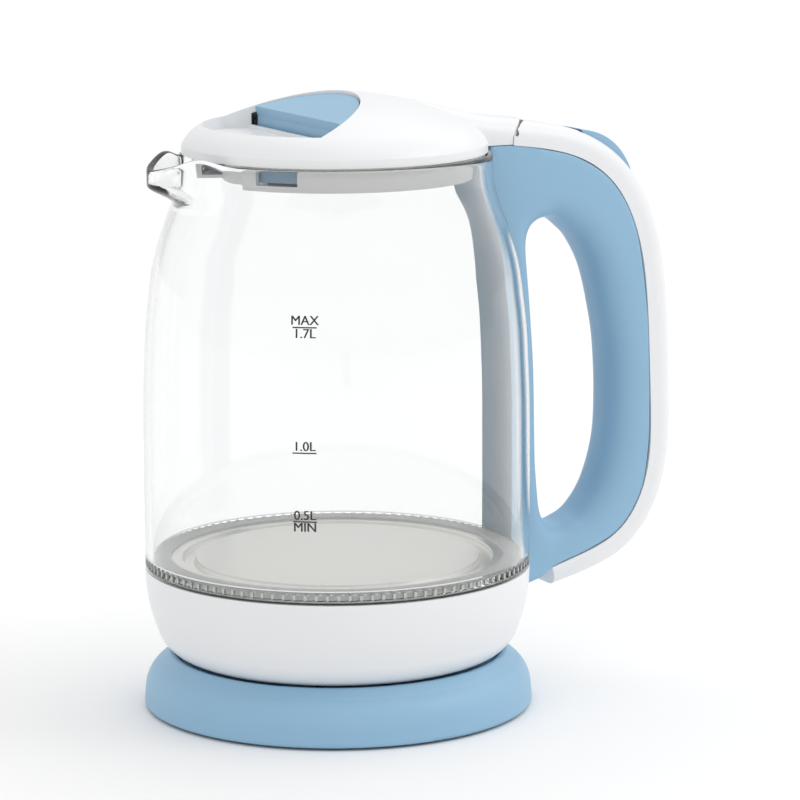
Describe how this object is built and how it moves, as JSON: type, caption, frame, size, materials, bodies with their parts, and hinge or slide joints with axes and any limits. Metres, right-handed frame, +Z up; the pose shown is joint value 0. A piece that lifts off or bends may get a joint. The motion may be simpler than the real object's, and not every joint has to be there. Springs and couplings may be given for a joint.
{
  "type": "electric kettle",
  "caption": "Glass-bodied electric kettle with a round power base, white bowl-shaped foot, moulded spout, hinged lid with a press latch, and a loop handle with a rocker switch on its shoulder",
  "frame": {"origin": "centre of the power base's foot ring, on the surface the base stands on", "axes": "+Z up along the jug's axis, +X from the spout towards the handle, +Y to the kettle's far side, where the cord gland is"},
  "size_m": [0.2268, 0.1553, 0.2444],
  "materials": {
    "blue_plastic": "satin moulded plastic, powder blue",
    "white_plastic": "smooth white moulded plastic",
    "clear_glass": "clear borosilicate glass",
    "clear_plastic": "clear ribbed plastic",
    "brushed_steel": "brushed stainless steel",
    "black_rubber": "soft black rubber",
    "white_silicone": "milky food-grade silicone",
    "dark_plastic": "dark moulded thermoset",
    "brass_contact": "plated contact brass",
    "zinc_steel": "zinc plated steel",
    "board_green": "lacquered circuit board",
    "led_lens": "moulded light lens",
    "wire_skin": "insulated wire"
  },
  "bodies": {
    "power_base": {"base_top_shell": "blue_plastic", "base_bottom_plate": "dark_plastic", "base_foot_ring": "black_rubber", "base_screws": "zinc_steel", "base_socket": "dark_plastic", "base_contacts": "brass_contact", "cord_gland": "black_rubber"},
    "jug": {"bottom_shell": "white_plastic", "bottom_cover": "white_plastic", "jug_feet": "black_rubber", "bottom_screws": "zinc_steel", "jug_connector": "dark_plastic", "connector_pins": "brass_contact", "heating_plate": "brushed_steel", "plate_seal": "white_silicone", "light_ring": "clear_plastic", "heating_element": "zinc_steel", "thermostat_control": "dark_plastic", "light_board": "board_green", "leds": "led_lens", "glass_jug": "clear_glass", "handle_grip": "blue_plastic", "handle_cover": "white_plastic", "switch_pin": "zinc_steel", "hinge_pin": "zinc_steel", "handle_screw": "zinc_steel", "switch_block": "dark_plastic", "steam_thermostat": "dark_plastic", "bimetal_disc": "brass_contact", "handle_wires": "wire_skin"},
    "lid": {"lid_cover": "white_plastic", "latch_pin": "zinc_steel", "lid_skirt": "white_plastic", "lid_seal": "white_silicone", "latch_spring": "zinc_steel"},
    "latch": {"lid_latch": "blue_plastic"},
    "rocker": {"power_switch": "blue_plastic"}
  },
  "joints": [
    {"name": "jug_lift", "type": "slide", "parent": "power_base", "child": "jug", "axis": [0, 0, 1], "range_m": [0, 0.1]},
    {"name": "lid_hinge", "type": "hinge", "parent": "jug", "child": "lid", "pos_m": [0.0736, 0, 0.2254], "axis": [0, 1, 0], "range_deg": [0, 60]},
    {"name": "latch_press", "type": "hinge", "parent": "lid", "child": "latch", "pos_m": [0.0022, 0, 0.2372], "axis": [0, 1, 0], "range_deg": [-2, 0], "stiffness_Nm_per_rad": 0.5, "springref_deg": 11.46},
    {"name": "switch_rock", "type": "hinge", "parent": "jug", "child": "rocker", "pos_m": [0.11518, 0, 0.21295], "axis": [0, 1, 0], "range_deg": [0, 7]}
  ]
}
